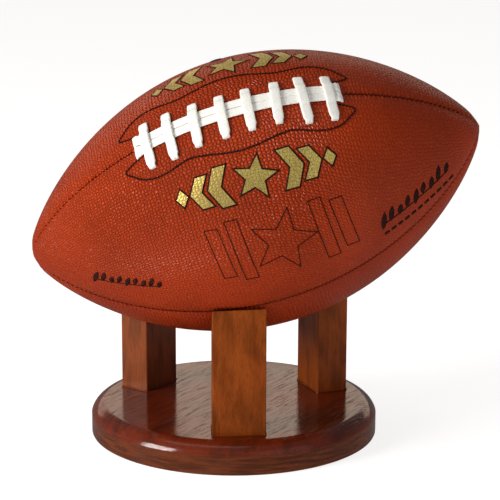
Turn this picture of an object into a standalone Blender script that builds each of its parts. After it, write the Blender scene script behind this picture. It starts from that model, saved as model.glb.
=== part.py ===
"""Football on a round three-post display stand.

Units are metres, +Z is up. The origin is the centre of the stand's underside, on the
surface it stands on. The ball's length runs along +X, towards its raised end.
"""
import math

import bmesh
import bpy
from mathutils import Matrix, Vector

# --- Clearances -----------------------------------------------------------------------
CLEARANCE = 0.0003          # between two pieces that touch
CUT_OVERSHOOT = 0.003       # how far a cutter runs past the face it opens
MERGE_DISTANCE = 0.000001   # points closer than this are one point
SMOOTH_BELOW = math.radians(30)     # edges flatter than this are shaded smooth

# --- Base -----------------------------------------------------------------------------
BASE_DIAMETER = 0.1778      # 7 in
BASE_THICKNESS = 0.01905    # 3/4 in board
BASE_ROUND_RADIUS = 0.010   # rounded upper rim
BASE_ROUND_SWEEP = math.radians(72)
BASE_ROUND_STEPS = 6
BASE_STEPS = 64
FELT_THICKNESS = 0.0012
FELT_PROUD = 0.0003         # felt below the wooden rim
FELT_RIM = 0.008            # width of bare wood round the felt

# --- Posts ----------------------------------------------------------------------------
POST_WIDTH = 0.03175        # 1 1/4 in
POST_DEPTH = 0.020
POST_SETBACK = 0.0164       # from the base's edge to a post's outer face
POST_EDGE = 0.0005          # eased corner
SEAT_ROUNDS = 50            # halvings when a post's seat on the ball is found
# Place round the base, from the -Y side, positive towards +X, and turn on the spot.
POSTS = {
    "front": (math.radians(3.0), 0.0),
    "left": (math.radians(-119.2), math.radians(-4.7)),
    "right": (math.radians(116.5), math.radians(-4.0)),
}

# --- Screws, two up into each post ----------------------------------------------------
SCREW_LENGTH = 0.0381
SCREW_SHANK_DIAMETER = 0.0042
SCREW_HEAD_DIAMETER = 0.0084
SCREW_HEAD_RIM = 0.0004
SCREW_POINT = 0.005
SCREW_SPACING = 0.016
SCREW_SINK = 0.0005         # head below the face it is driven into
SCREW_STEPS = 12
DRIVE_WIDTH = 0.0012        # cross recess in the head
DRIVE_LENGTH = 0.0048
DRIVE_DEPTH = 0.0016

# --- Ball -----------------------------------------------------------------------------
BALL_LENGTH = 0.285
BALL_DIAMETER = 0.164
BALL_FULLNESS = 0.777       # outline exponent: 0.5 is an ellipse, more is pointed
BALL_TILT = math.radians(16.4)
BALL_TURN = math.radians(1.5)
BALL_OFFSET = (0.0121, -0.0101)
BALL_HEIGHT = 0.0499        # from the base's top to the ball's lowest point
SEAM_ANGLE = math.radians(48.0)     # laced seam, from the -Y side towards +Z
SEAM_GAP = 0.0003
TIP_DEPTH_FACTOR = 1.5      # how much deeper an inner layer starts at a tip
SLOPE_STEP = 0.0005         # for the slope of the ball's outline
BALL_BANDS = 20             # facets from tip to tip
PANEL_STEPS = 8             # facets across a quarter
BLADDER_BANDS = 14
BLADDER_STEPS = 16
PANEL_NAMES = ("front", "top", "rear", "under")     # anticlockwise from the front

# Layers, from the outside inwards.
LEATHER_THICKNESS = 0.0020
LINING_THICKNESS = 0.0008
TONGUE_THICKNESS = 0.0012
BLADDER_THICKNESS = 0.0008

# --- Lace -----------------------------------------------------------------------------
LACE_BARS = 8
LACE_PITCH = 0.0154
LACE_CENTRE = 0.0043        # middle of the row, along the ball
LACE_WIDTH = 0.006
LACE_THICKNESS = 0.0018
LACE_SPAN = 0.030           # length of a crossbar
LACE_SHIFT = -0.0018        # middle of the crossbars, from the seam towards the top panel
STRAND_WIDTH = 0.0112       # the two lengthwise laces side by side
STRAND_THICKNESS = 0.0013
STRAND_BANDS = 12
STRAND_STEPS = 2
LACE_LEG = 0.0020           # thickness of the lace where it dives through the leather
LACE_OVERHANG = 0.0047      # how far the lengthwise strand passes the end bars
LACE_BAR_FACETS = 6
TONGUE_WIDTH = 0.040
TONGUE_OVERHANG = 0.008
TONGUE_BANDS = 10
TONGUE_STEPS = 4

# --- Valve ----------------------------------------------------------------------------
VALVE_HEAD_DIAMETER = 0.0082
VALVE_FLAT_DIAMETER = 0.0050        # flat middle of the domed head
VALVE_STEM_DIAMETER = 0.0056
VALVE_BORE_DIAMETER = 0.0014
VALVE_PROUD = 0.0007
VALVE_STEM_REACH = 0.006    # stem inside the bladder
VALVE_STEPS = 16

# --- Worked out from the sizes above --------------------------------------------------
PANEL_LIFT = SEAM_GAP / math.sqrt(2)        # each quarter moves out to open the seams
FACET_SAG = (                               # how far a flat facet cuts under the curve
    BALL_DIAMETER / 2 * (1 - math.cos(math.pi / 4 / PANEL_STEPS))
    + BALL_DIAMETER * BALL_FULLNESS / 8 * (math.pi / BALL_BANDS) ** 2)
LINING_DEPTH = LEATHER_THICKNESS + CLEARANCE
TONGUE_DEPTH = LINING_DEPTH + LINING_THICKNESS + FACET_SAG + CLEARANCE
BLADDER_DEPTH = TONGUE_DEPTH + TONGUE_THICKNESS + FACET_SAG + CLEARANCE
LACE_LIFT = PANEL_LIFT + CLEARANCE
BASE_UNDERSIDE = FELT_PROUD
BASE_TOP = BASE_UNDERSIDE + BASE_THICKNESS
RECESS_CEILING = FELT_THICKNESS + CLEARANCE
POST_CIRCLE = BASE_DIAMETER / 2 - POST_SETBACK - POST_DEPTH / 2
VALVE_ANGLE = SEAM_ANGLE + math.pi / 4


# --- Scene helpers --------------------------------------------------------------------
def clear_scene():
    for item in list(bpy.data.objects):
        bpy.data.objects.remove(item, do_unlink=True)


def make_collection(name):
    collection = bpy.data.collections.new(name)
    bpy.context.scene.collection.children.link(collection)
    return collection


def make_material(name, colour, roughness, metallic=0.0):
    material = bpy.data.materials.new(name)
    material.use_nodes = True
    shader = material.node_tree.nodes["Principled BSDF"]
    shader.inputs["Base Color"].default_value = (*colour, 1.0)
    shader.inputs["Roughness"].default_value = roughness
    shader.inputs["Metallic"].default_value = metallic
    return material


def add_part(name, mesh, material, parent=None):
    item = bpy.data.objects.new(name, mesh)
    item.data.materials.append(material)
    item.parent = parent
    PARTS.objects.link(item)
    return item


def add_cutter(name, mesh, parent=None):
    item = bpy.data.objects.new(name, mesh)
    item.parent = parent
    item.hide_render = True
    item.display_type = "WIRE"
    CUTTERS.objects.link(item)
    return item


def finish_mesh(shape, name, smooth=False):
    """Turns a bmesh into a mesh whose faces point outwards."""
    bmesh.ops.recalc_face_normals(shape, faces=shape.faces)
    mesh = bpy.data.meshes.new(name)
    shape.to_mesh(mesh)
    shape.free()
    if smooth:
        mesh.shade_smooth()
        mesh.set_sharp_from_angle(angle=SMOOTH_BELOW)
    return mesh


def outline_face(shape, points):
    return shape.faces.new([shape.verts.new(point) for point in points])


def chain(shape, points, closed=False):
    """Joins points by edges, for a turned profile."""
    verts = [shape.verts.new(point) for point in points]
    ring = verts + verts[:1] if closed else verts
    for first, second in zip(ring, ring[1:]):
        shape.edges.new((first, second))
    return verts


def turned_mesh(name, profile, closed=False):
    """A profile of (radius, height) pairs, ready for a Screw modifier."""
    shape = bmesh.new()
    chain(shape, [(radius, 0.0, height) for radius, height in profile], closed)
    mesh = bpy.data.meshes.new(name)
    shape.to_mesh(mesh)
    shape.free()
    return mesh


def add_turning(item, steps):
    turn = item.modifiers.new("turned", "SCREW")
    turn.steps = steps
    turn.render_steps = steps
    turn.use_merge_vertices = True
    turn.merge_threshold = 10 * MERGE_DISTANCE
    turn.use_smooth_shade = True


def add_boolean(item, other, operation="DIFFERENCE"):
    cut = item.modifiers.new(operation.lower(), "BOOLEAN")
    cut.operation = operation
    cut.solver = "EXACT"
    cut.object = other


def box_mesh(name, size):
    shape = bmesh.new()
    bmesh.ops.create_cube(shape, size=1.0, matrix=Matrix.Diagonal((*size, 1.0)))
    return finish_mesh(shape, name)


# --- The ball's outline ---------------------------------------------------------------
def half_length(depth):
    return BALL_LENGTH / 2 - TIP_DEPTH_FACTOR * depth


def ball_radius(along, depth=0.0):
    """Radius of the ball at a place along its axis, at a depth under its skin."""
    fall = max(0.0, 1.0 - (along / half_length(depth)) ** 2)
    return (BALL_DIAMETER / 2 - depth) * fall ** BALL_FULLNESS


def ball_slope(along):
    rise = ball_radius(along + SLOPE_STEP) - ball_radius(along - SLOPE_STEP)
    return rise / (2 * SLOPE_STEP)


def ball_drop():
    """Height of the tilted ball's centre over its lowest point."""
    best = 0.0
    for degree in range(-90, 91):
        along = BALL_LENGTH / 2 * math.sin(math.radians(degree))
        reach = along * math.sin(BALL_TILT) + ball_radius(along) * math.cos(BALL_TILT)
        best = max(best, reach)
    return best


def ball_place():
    centre = Vector((*BALL_OFFSET, BASE_TOP + BALL_HEIGHT + ball_drop()))
    turn = Matrix.Rotation(BALL_TURN, 4, "Z")
    tilt = Matrix.Rotation(-BALL_TILT, 4, "Y")
    return Matrix.Translation(centre) @ turn @ tilt


def around(radius, angle):
    """Y and Z of a point round the ball's axis, from the -Y side towards +Z."""
    return (-radius * math.cos(angle), radius * math.sin(angle))


def seat_plane(x, y):
    """Where a vertical line meets the ball from below, and the ball's normal there."""
    place = ball_place()
    inverse = place.inverted()
    low = BASE_TOP
    high = place.translation.z
    for _ in range(SEAT_ROUNDS):
        middle = (low + high) / 2
        local = inverse @ Vector((x, y, middle))
        if math.hypot(local.y, local.z) > ball_radius(local.x):
            low = middle
        else:
            high = middle
    local = inverse @ Vector((x, y, low))
    radius = math.hypot(local.y, local.z)
    normal = Vector((-ball_slope(local.x), local.y / radius, local.z / radius))
    return place @ local, (place.to_3x3() @ normal).normalized()


def skin_line(depth, start, end, bands):
    """Points (along, radius) at one depth, from one place along the ball to another."""
    reach = half_length(depth)
    first = math.asin(max(-1.0, min(1.0, start / reach)))
    last = math.asin(max(-1.0, min(1.0, end / reach)))
    line = []
    for index in range(bands + 1):
        along = reach * math.sin(first + (last - first) * index / bands)
        line.append((along, ball_radius(along, depth)))
    return line


def sector_mesh(name, depths, ends, angles, bands, steps, lift=0.0):
    """A wall between two depths, two places along the ball and two angles round it."""
    start, end = ends
    first, last = angles
    outer = skin_line(depths[0], start, end, bands)
    inner = skin_line(depths[1], start, end, bands)
    shape = bmesh.new()
    section = outline_face(shape, [(s, *around(r, first)) for s, r in outer + inner[::-1]])
    bmesh.ops.spin(
        shape, geom=[section, *section.edges, *section.verts], cent=(0, 0, 0),
        axis=(-1, 0, 0), dvec=(0, 0, 0), angle=last - first, steps=steps,
        use_merge=False, use_duplicate=False)
    bmesh.ops.remove_doubles(shape, verts=shape.verts, dist=MERGE_DISTANCE)
    move = Vector((0.0, *around(lift, (first + last) / 2)))
    bmesh.ops.translate(shape, verts=shape.verts, vec=move)
    return finish_mesh(shape, name, smooth=True)


# --- Stand ----------------------------------------------------------------------------
def base_profile():
    """Down the outer side from the top's centre, and in under the felt."""
    radius = BASE_DIAMETER / 2
    flat = radius - BASE_ROUND_RADIUS * math.sin(BASE_ROUND_SWEEP)
    profile = [(0.0, BASE_TOP)]
    for index in range(BASE_ROUND_STEPS + 1):
        angle = BASE_ROUND_SWEEP * index / BASE_ROUND_STEPS
        across = flat + BASE_ROUND_RADIUS * math.sin(angle)
        profile.append((across, BASE_TOP - BASE_ROUND_RADIUS * (1 - math.cos(angle))))
    profile.append((radius, BASE_UNDERSIDE))
    profile.append((radius - FELT_RIM, BASE_UNDERSIDE))
    profile.append((radius - FELT_RIM, RECESS_CEILING))
    profile.append((0.0, RECESS_CEILING))
    return profile


def make_base():
    base = add_part("base_disc", turned_mesh("base_disc", base_profile()), WALNUT_DARK)
    add_turning(base, BASE_STEPS)
    return base


def make_felt():
    shape = bmesh.new()
    radius = BASE_DIAMETER / 2 - FELT_RIM - CLEARANCE
    bmesh.ops.create_cone(
        shape, cap_ends=True, segments=BASE_STEPS, radius1=radius, radius2=radius,
        depth=FELT_THICKNESS, matrix=Matrix.Translation((0, 0, FELT_THICKNESS / 2)))
    add_part("felt_pad", finish_mesh(shape, "felt_pad", smooth=True), FELT)


def post_place(name):
    """A post's foot: its width runs across the radius, its depth along it."""
    azimuth, turn = POSTS[name]
    spot = (POST_CIRCLE * math.sin(azimuth), -POST_CIRCLE * math.cos(azimuth))
    foot = Matrix.Translation((*spot, BASE_TOP + CLEARANCE))
    return foot @ Matrix.Rotation(azimuth + turn, 4, "Z")


def make_post(name):
    """A rectangular post whose top is planed off to lie against the ball."""
    place = post_place(name)
    contact, normal = seat_plane(place.translation.x, place.translation.y)
    contact = contact + normal * (PANEL_LIFT + CLEARANCE)
    height = BALL_DIAMETER
    shape = bmesh.new()
    size = Matrix.Diagonal((POST_WIDTH, POST_DEPTH, height, 1.0))
    bmesh.ops.create_cube(
        shape, size=1.0, matrix=Matrix.Translation((0, 0, height / 2)) @ size)
    everything = [*shape.verts, *shape.edges, *shape.faces]
    cut = bmesh.ops.bisect_plane(
        shape, geom=everything, plane_co=place.inverted() @ contact,
        plane_no=place.to_3x3().inverted() @ normal, clear_inner=True)
    rim = [edge for edge in cut["geom_cut"] if isinstance(edge, bmesh.types.BMEdge)]
    bmesh.ops.contextual_create(shape, geom=rim)
    mesh = finish_mesh(shape, f"post_{name}")
    post = add_part(f"post_{name}", mesh, WALNUT_WARM)
    post.matrix_world = place
    eased = post.modifiers.new("eased", "BEVEL")
    eased.width = POST_EDGE
    eased.segments = 1
    eased.limit_method = "ANGLE"
    return post


# --- Screws ---------------------------------------------------------------------------
def screw_profile(grow=0.0, below=0.0):
    """A countersunk screw, point up, its head's face at height 0."""
    shank = SCREW_SHANK_DIAMETER / 2 + grow
    head = SCREW_HEAD_DIAMETER / 2 + grow
    cone = SCREW_HEAD_RIM + (SCREW_HEAD_DIAMETER - SCREW_SHANK_DIAMETER) / 2
    point_angle = math.atan(SCREW_SHANK_DIAMETER / 2 / SCREW_POINT)
    return [
        (0.0, SCREW_LENGTH + grow / math.sin(point_angle)),
        (shank, SCREW_LENGTH - SCREW_POINT + grow * math.tan(point_angle / 2)),
        (shank, cone + grow),
        (head, SCREW_HEAD_RIM + grow),
        (head, -below),
        (0.0, -below),
    ]


def screw_mesh():
    """One screw with a cross recess, whose mesh all the screws share."""
    blank = add_part("screw_blank", turned_mesh("screw_blank", screw_profile()), STEEL)
    add_turning(blank, SCREW_STEPS)
    slots = []
    for length, width in ((DRIVE_LENGTH, DRIVE_WIDTH), (DRIVE_WIDTH, DRIVE_LENGTH)):
        slot = add_cutter("drive_slot", box_mesh("drive_slot", (length, width, 2 * DRIVE_DEPTH)))
        add_boolean(blank, slot)
        slots.append(slot)
    graph = bpy.context.evaluated_depsgraph_get()
    mesh = bpy.data.meshes.new_from_object(blank.evaluated_get(graph))
    mesh.name = "wood_screw"
    for item in [blank, *slots]:
        bpy.data.objects.remove(item, do_unlink=True)
    return mesh


def make_screws(post_name, post, base, mesh):
    sunk = RECESS_CEILING + SCREW_SINK
    for side, letter in ((-1, "a"), (1, "b")):
        place = post_place(post_name) @ Matrix.Translation((side * SCREW_SPACING / 2, 0, 0))
        place.translation.z = sunk
        screw = add_part(f"screw_{post_name}_{letter}", mesh, STEEL)
        screw.matrix_world = place
        hole_profile = screw_profile(CLEARANCE, CUT_OVERSHOOT)
        hole = add_cutter(f"screw_hole_{post_name}_{letter}",
                          turned_mesh("screw_hole", hole_profile))
        add_turning(hole, SCREW_STEPS)
        hole.matrix_world = place
        add_boolean(base, hole)
        add_boolean(post, hole)


# --- Ball -----------------------------------------------------------------------------
def quarter(index):
    """Angles of a panel, counted anticlockwise from the one under the laced seam."""
    first = SEAM_ANGLE + (index - 1) * math.pi / 2
    return first, first + math.pi / 2


def make_quarters(prefix, depth, thickness, material, frame):
    layer = {}
    reach = (-BALL_LENGTH, BALL_LENGTH)
    for index, name in enumerate(PANEL_NAMES):
        node = f"{prefix}_{name}"
        mesh = sector_mesh(node, (depth, depth + thickness), reach, quarter(index),
                           BALL_BANDS, PANEL_STEPS, lift=PANEL_LIFT)
        layer[name] = add_part(node, mesh, material, frame)
    return layer


def make_bladder(frame):
    """A thin closed skin, open only where the valve's stem goes in."""
    shape = bmesh.new()
    start = skin_line(BLADDER_DEPTH, -BALL_LENGTH, BALL_LENGTH, BLADDER_BANDS)
    verts = chain(shape, [(s, *around(r, SEAM_ANGLE)) for s, r in start])
    bmesh.ops.spin(
        shape, geom=[*verts, *shape.edges], cent=(0, 0, 0), axis=(-1, 0, 0),
        dvec=(0, 0, 0), angle=2 * math.pi, steps=BLADDER_STEPS, use_merge=True)
    bmesh.ops.remove_doubles(shape, verts=shape.verts, dist=MERGE_DISTANCE)
    bladder = add_part("bladder", finish_mesh(shape, "bladder", smooth=True), RUBBER, frame)
    wall = bladder.modifiers.new("wall", "SOLIDIFY")
    wall.thickness = BLADDER_THICKNESS
    wall.offset = -1.0
    return bladder


def make_tongue(frame):
    """The strip under the laced opening, between the lining and the bladder."""
    half_angle = TONGUE_WIDTH / BALL_DIAMETER
    start, end = lace_ends()
    mesh = sector_mesh(
        "lace_tongue", (TONGUE_DEPTH, TONGUE_DEPTH + TONGUE_THICKNESS),
        (start - TONGUE_OVERHANG, end + TONGUE_OVERHANG),
        (SEAM_ANGLE - half_angle, SEAM_ANGLE + half_angle), TONGUE_BANDS, TONGUE_STEPS)
    add_part("lace_tongue", mesh, LEATHER_INNER, frame)


# --- Lace -----------------------------------------------------------------------------
def bar_places():
    first = LACE_CENTRE - LACE_PITCH * (LACE_BARS - 1) / 2
    return [first + LACE_PITCH * index for index in range(LACE_BARS)]


def lace_ends():
    places = bar_places()
    reach = LACE_WIDTH / 2 + LACE_OVERHANG
    return places[0] - reach, places[-1] + reach


def bar_place(along):
    """Local Z stands out of the skin on the laced seam, local X runs along the seam."""
    slope = math.atan(ball_slope(along))
    spot = Vector((along, *around(ball_radius(along), SEAM_ANGLE)))
    turn = Matrix.Rotation(math.pi / 2 - SEAM_ANGLE, 4, "X")
    return Matrix.Translation(spot) @ turn @ Matrix.Rotation(-slope, 4, "Y")


def bend_radius(along):
    """Radius of the skin across the seam, square to it."""
    return ball_radius(along) / math.cos(math.atan(ball_slope(along)))


def bent(radius, bend, angle):
    """Y and Z in a bar's own section, over a skin of a given bend."""
    return (radius * math.sin(angle), radius * math.cos(angle) - bend)


def lace_leg_floor():
    return LINING_DEPTH + LINING_THICKNESS


def staple_outline(bend):
    """A crossbar that arches over the seam and dives through the leather at its ends."""
    under = bend + LACE_LIFT
    over = under + LACE_THICKNESS
    tip = bend - lace_leg_floor()
    middle = LACE_SHIFT / bend
    outer_angle = LACE_SPAN / 2 / bend
    inner_angle = outer_angle - LACE_LEG / bend
    outline = []
    for index in range(LACE_BAR_FACETS + 1):
        angle = middle + outer_angle * (2 * index / LACE_BAR_FACETS - 1)
        outline.append(bent(over, bend, angle))
    outline.append(bent(tip, bend, middle + outer_angle))
    outline.append(bent(tip, bend, middle + inner_angle))
    for index in range(LACE_BAR_FACETS + 1):
        angle = middle + inner_angle * (1 - 2 * index / LACE_BAR_FACETS)
        outline.append(bent(under, bend, angle))
    outline.append(bent(tip, bend, middle - inner_angle))
    outline.append(bent(tip, bend, middle - outer_angle))
    return outline


def staple_mesh(along):
    shape = bmesh.new()
    face = outline_face(
        shape, [(-LACE_WIDTH / 2, y, z) for y, z in staple_outline(bend_radius(along))])
    pulled = bmesh.ops.extrude_face_region(shape, geom=[face])
    moved = [item for item in pulled["geom"] if isinstance(item, bmesh.types.BMVert)]
    bmesh.ops.translate(shape, verts=moved, vec=(LACE_WIDTH, 0, 0))
    return finish_mesh(shape, "crossbar")


def lace_hole_mesh(side):
    """One row of lace holes, as cutters through the leather and its lining."""
    shape = bmesh.new()
    top = LACE_LIFT + CUT_OVERSHOOT
    floor = -lace_leg_floor() - CUT_OVERSHOOT
    size = (LACE_WIDTH + 2 * CLEARANCE, LACE_LEG + 2 * CLEARANCE, top - floor)
    for along in bar_places():
        bend = bend_radius(along)
        angle = (LACE_SHIFT + side * (LACE_SPAN - LACE_LEG) / 2) / bend
        swing = Matrix.Translation((0, 0, -bend)) @ Matrix.Rotation(-angle, 4, "X")
        middle = Matrix.Translation((0, 0, bend + (top + floor) / 2))
        place = bar_place(along) @ swing @ middle @ Matrix.Diagonal((*size, 1.0))
        bmesh.ops.create_cube(shape, size=1.0, matrix=place)
    return finish_mesh(shape, "lace_holes")


def make_lace(frame, leather, lining):
    """One lace: a lengthwise double strand joined to the crossbars over it."""
    half_angle = STRAND_WIDTH / BALL_DIAMETER
    mesh = sector_mesh(
        "lace", (-LACE_LIFT - STRAND_THICKNESS, -LACE_LIFT), lace_ends(),
        (SEAM_ANGLE - half_angle, SEAM_ANGLE + half_angle), STRAND_BANDS, STRAND_STEPS)
    lace = add_part("lace", mesh, LACE_WHITE, frame)
    for along in bar_places():
        bar = add_cutter("crossbar", staple_mesh(along), frame)
        bar.matrix_local = bar_place(along)
        add_boolean(lace, bar, "UNION")
    for side, name in ((-1, "front"), (1, "top")):
        holes = add_cutter(f"lace_holes_{name}", lace_hole_mesh(side), frame)
        add_boolean(leather[name], holes)
        add_boolean(lining[name], holes)


# --- Valve ----------------------------------------------------------------------------
def valve_profile():
    """Down the outside from the domed head, and back up the needle's bore."""
    head = VALVE_HEAD_DIAMETER / 2
    flat = VALVE_FLAT_DIAMETER / 2
    stem = VALVE_STEM_DIAMETER / 2
    bore = VALVE_BORE_DIAMETER / 2
    shoulder = -LEATHER_THICKNESS
    foot = -BLADDER_DEPTH - BLADDER_THICKNESS - VALVE_STEM_REACH
    return [
        (bore, VALVE_PROUD),
        (flat, VALVE_PROUD),
        (head, 0.0),
        (head, shoulder),
        (stem, shoulder),
        (stem, foot),
        (bore, foot),
    ]


def valve_hole_mesh(name, radius):
    shape = bmesh.new()
    top = CUT_OVERSHOOT
    floor = -BLADDER_DEPTH - BLADDER_THICKNESS - CUT_OVERSHOOT
    middle = Matrix.Translation((0, 0, (top + floor) / 2))
    bmesh.ops.create_cone(
        shape, cap_ends=True, segments=VALVE_STEPS, radius1=radius, radius2=radius,
        depth=top - floor, matrix=middle)
    return finish_mesh(shape, name)


def make_valve(frame, panel, lining, bladder):
    spot = Vector((0.0, *around(BALL_DIAMETER / 2, VALVE_ANGLE)))
    place = Matrix.Translation(spot) @ Matrix.Rotation(math.pi / 2 - VALVE_ANGLE, 4, "X")
    mesh = turned_mesh("valve", valve_profile(), closed=True)
    valve = add_part("valve", mesh, RUBBER, frame)
    add_turning(valve, VALVE_STEPS)
    valve.matrix_local = place
    cuts = (
        ("valve_head_hole", VALVE_HEAD_DIAMETER, (panel,)),
        ("valve_stem_hole", VALVE_STEM_DIAMETER, (lining, bladder)),
    )
    for name, diameter, items in cuts:
        hole = add_cutter(name, valve_hole_mesh(name, diameter / 2 + CLEARANCE), frame)
        hole.matrix_local = place
        for item in items:
            add_boolean(item, hole)


# --- Assembly -------------------------------------------------------------------------
def make_stand():
    base = make_base()
    make_felt()
    mesh = screw_mesh()
    for name in POSTS:
        make_screws(name, make_post(name), base, mesh)


def make_ball():
    frame = bpy.data.objects.new("football_frame", None)
    PARTS.objects.link(frame)
    frame.matrix_world = ball_place()
    leather = make_quarters("panel", 0.0, LEATHER_THICKNESS, LEATHER, frame)
    lining = make_quarters("lining", LINING_DEPTH, LINING_THICKNESS, CANVAS, frame)
    bladder = make_bladder(frame)
    make_tongue(frame)
    make_lace(frame, leather, lining)
    make_valve(frame, leather["top"], lining["top"], bladder)


clear_scene()
PARTS = make_collection("football_display")
CUTTERS = make_collection("cutters")

WALNUT_DARK = make_material("walnut_dark", (0.105, 0.030, 0.012), 0.30)
WALNUT_WARM = make_material("walnut_warm", (0.220, 0.062, 0.014), 0.38)
FELT = make_material("felt_dark_green", (0.010, 0.035, 0.018), 0.95)
STEEL = make_material("zinc_steel", (0.55, 0.55, 0.52), 0.35, metallic=1.0)
LEATHER = make_material("ball_leather", (0.300, 0.050, 0.016), 0.48)
LEATHER_INNER = make_material("tongue_leather", (0.260, 0.120, 0.050), 0.75)
CANVAS = make_material("lining_canvas", (0.600, 0.520, 0.380), 0.90)
RUBBER = make_material("black_rubber", (0.012, 0.012, 0.013), 0.55)
LACE_WHITE = make_material("lace_white", (0.86, 0.87, 0.82), 0.70)

make_stand()
make_ball()
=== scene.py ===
"""The finished look of a laced leather football on its round three-post wooden stand.

Units are metres, +Z is up. The ball's axis runs along +X towards its raised end. A place on
the ball is given by a distance along the axis, from the middle, and a distance round the
ball, from the laced seam towards the top panel.
"""
import math

import bmesh
import bpy
from bpy.props import FloatProperty, FloatVectorProperty, IntProperty, PointerProperty
from bpy.types import Operator, Panel, PropertyGroup
from mathutils import Matrix, Vector, noise


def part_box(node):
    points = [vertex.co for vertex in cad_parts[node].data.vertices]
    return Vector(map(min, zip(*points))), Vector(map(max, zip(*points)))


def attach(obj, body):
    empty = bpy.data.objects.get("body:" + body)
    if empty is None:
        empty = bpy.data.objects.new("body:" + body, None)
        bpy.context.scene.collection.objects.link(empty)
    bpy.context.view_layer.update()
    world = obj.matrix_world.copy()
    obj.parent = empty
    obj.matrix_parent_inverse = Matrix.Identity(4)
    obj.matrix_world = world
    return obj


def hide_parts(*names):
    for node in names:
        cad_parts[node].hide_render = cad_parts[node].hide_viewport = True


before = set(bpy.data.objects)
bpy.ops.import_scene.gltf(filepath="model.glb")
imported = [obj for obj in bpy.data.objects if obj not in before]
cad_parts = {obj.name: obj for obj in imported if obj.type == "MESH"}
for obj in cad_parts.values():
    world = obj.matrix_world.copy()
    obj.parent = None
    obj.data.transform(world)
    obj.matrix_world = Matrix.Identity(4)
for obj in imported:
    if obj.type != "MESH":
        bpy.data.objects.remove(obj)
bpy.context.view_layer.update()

bl_info = {
    "name": "Football display stand",
    "version": (1, 0, 0),
    "blender": (4, 5, 0),
    "location": "3D View > Sidebar > Football",
    "description": "Builds a laced leather football on a three-post wooden stand",
    "category": "Object",
}

BALL_BODY = "football"
STAND_BODY = "stand"
PANEL_NODES = ("panel_front", "panel_top", "panel_rear", "panel_under")
LINING_NODES = ("lining_front", "lining_top", "lining_rear", "lining_under")
MM = 0.001
QUARTER_TURN = math.pi / 2
WELD = 0.001 * MM               # points closer than this are one point

# --- Ball -----------------------------------------------------------------------------
TIP_START = 136.0 * MM          # from here on the tips are blunted
TIP_FLATTENING = (0.66, 0.30)   # low end, raised end
PANEL_BANDS = 400
PANEL_STEPS = 112
PANEL_CROWDING = 0.68           # 0 is even; more puts the mesh's rows closer to the seams
PANEL_WALL = 0.8 * MM
SEAM_HALF_GAP = 0.15 * MM
ROLL_REACH = 1.5 * MM           # leather turned in at a seam
ROLL_DEPTH = 1.35 * MM
VALLEY_REACH = 4.5 * MM
VALLEY_DEPTH = 0.42 * MM
PUCKER_REACH = 3.3 * MM
PUCKER_DEPTH = 0.75 * MM
STITCH_PITCH = 2.5 * MM
TIP_FADE = 9.0 * MM             # ball radius under which seams grow shallow
UNEVENNESS = 0.10 * MM
UNEVEN_SCALE = 24.0
HOLE_DIP = 0.9 * MM
HOLE_REACH = 2.6 * MM
HOLE_SPAN = 30.0 * MM           # beyond this from the seam no lace hole dips the leather
MERIDIAN_STEPS = 4000           # how finely a meridian is measured
PEBBLE_NEAR = 2.35 * MM         # pitch of the leather's grain by the lacing
PEBBLE_FAR = 1.70 * MM          # and away from it
PEBBLE_ALONG = 75.0 * MM        # how far the coarse grain reaches, along and round
PEBBLE_ROUND = 46.0 * MM
PEBBLE_STRETCH = 0.36           # how much longer pebbles grow towards the raised end
STRETCH_FROM = 0.0
STRETCH_TO = 80.0 * MM

# --- Threads of the seams and of the outline ------------------------------------------
SEAM_STITCH = (2.2 * MM, 0.85 * MM, 0.7 * MM)       # length, width, height
SEAM_STITCH_LEAN = math.radians(66)
SEAM_STITCH_LIFT = 0.85 * MM
SEAM_STITCH_SUNK = 0.45 * MM    # how much lower they lie in the laced seam's low half
SEAM_END = 9.0 * MM             # bare seam at each tip
OUTLINE_STITCH = (2.3 * MM, 1.05 * MM, 1.05 * MM)
OUTLINE_PITCH = 1.85 * MM
OUTLINE_TWIST = 0.42
OUTLINE_LIFT = 0.16 * MM

# --- Lace: place along, upper end, lower end and lean of each crossbar, in millimetres --
BARS = (
    (-49.7, 14.2, -16.9, 0.0),
    (-35.6, 13.6, -18.0, -0.4),
    (-19.8, 12.4, -16.6, -1.6),
    (-3.7, 11.7, -16.9, -1.2),
    (11.8, 11.8, -16.6, -1.3),
    (28.1, 12.4, -16.0, -2.4),
    (43.3, 13.9, -18.6, 0.0),
    (58.1, 12.7, -17.9, -0.4),
)
BAR_CLEAR = 0.25 * MM           # under a crossbar where it lies on the leather
DIVE_RADIUS = 1.7 * MM
DIVE_DEPTH = 2.0 * MM
STRAND_ENDS = (-57.6 * MM, 65.2 * MM)
STRAND_GAP = 0.12 * MM          # from the seam to each lengthwise lace
LACE_SEGMENTS = 20
CORNER_STEPS = 5                # where a crossbar turns down into its hole
BAR_STEPS = 26
STRAND_STEPS = 110
# Painted shadow: dark ovals laid in each crossbar's holes, as (length, width, height)
HOLE_SHADOW = (4.6 * MM, 2.4 * MM, 0.3 * MM)

# --- Wood -----------------------------------------------------------------------------
BASE_PORES = (38.0, 38.0, 42.0, 0.45)   # crowding both ways across, scale, strength
POST_PORES = (40.0, 40.0, 60.0, 0.35)
BEAD_SIZE = 0.7 * MM            # lacquer gathered round a post's foot

# --- Stitched outline: half its left-right shape as (share of the half length, mm) ------
WING_CENTRE = 2.2 * MM
WING_HALF = 68.4 * MM
WING = (
    (0.0, 27.2), (0.14, 26.3), (0.28, 23.9), (0.42, 22.0), (0.52, 22.5), (0.63, 24.0),
    (0.75, 23.9), (0.86, 21.2), (0.94, 16.6), (1.0, 11.6), (0.93, 9.2), (0.85, 7.8),
)


# --- Settings -------------------------------------------------------------------------
def length(name, text, value):
    return FloatProperty(name=name, description=text, default=value, unit="LENGTH",
                         precision=5, min=0.0)


def colour(name, text, value):
    return FloatVectorProperty(name=name, description=text, default=value, size=3,
                               subtype="COLOR", min=0.0, max=1.0)


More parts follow.
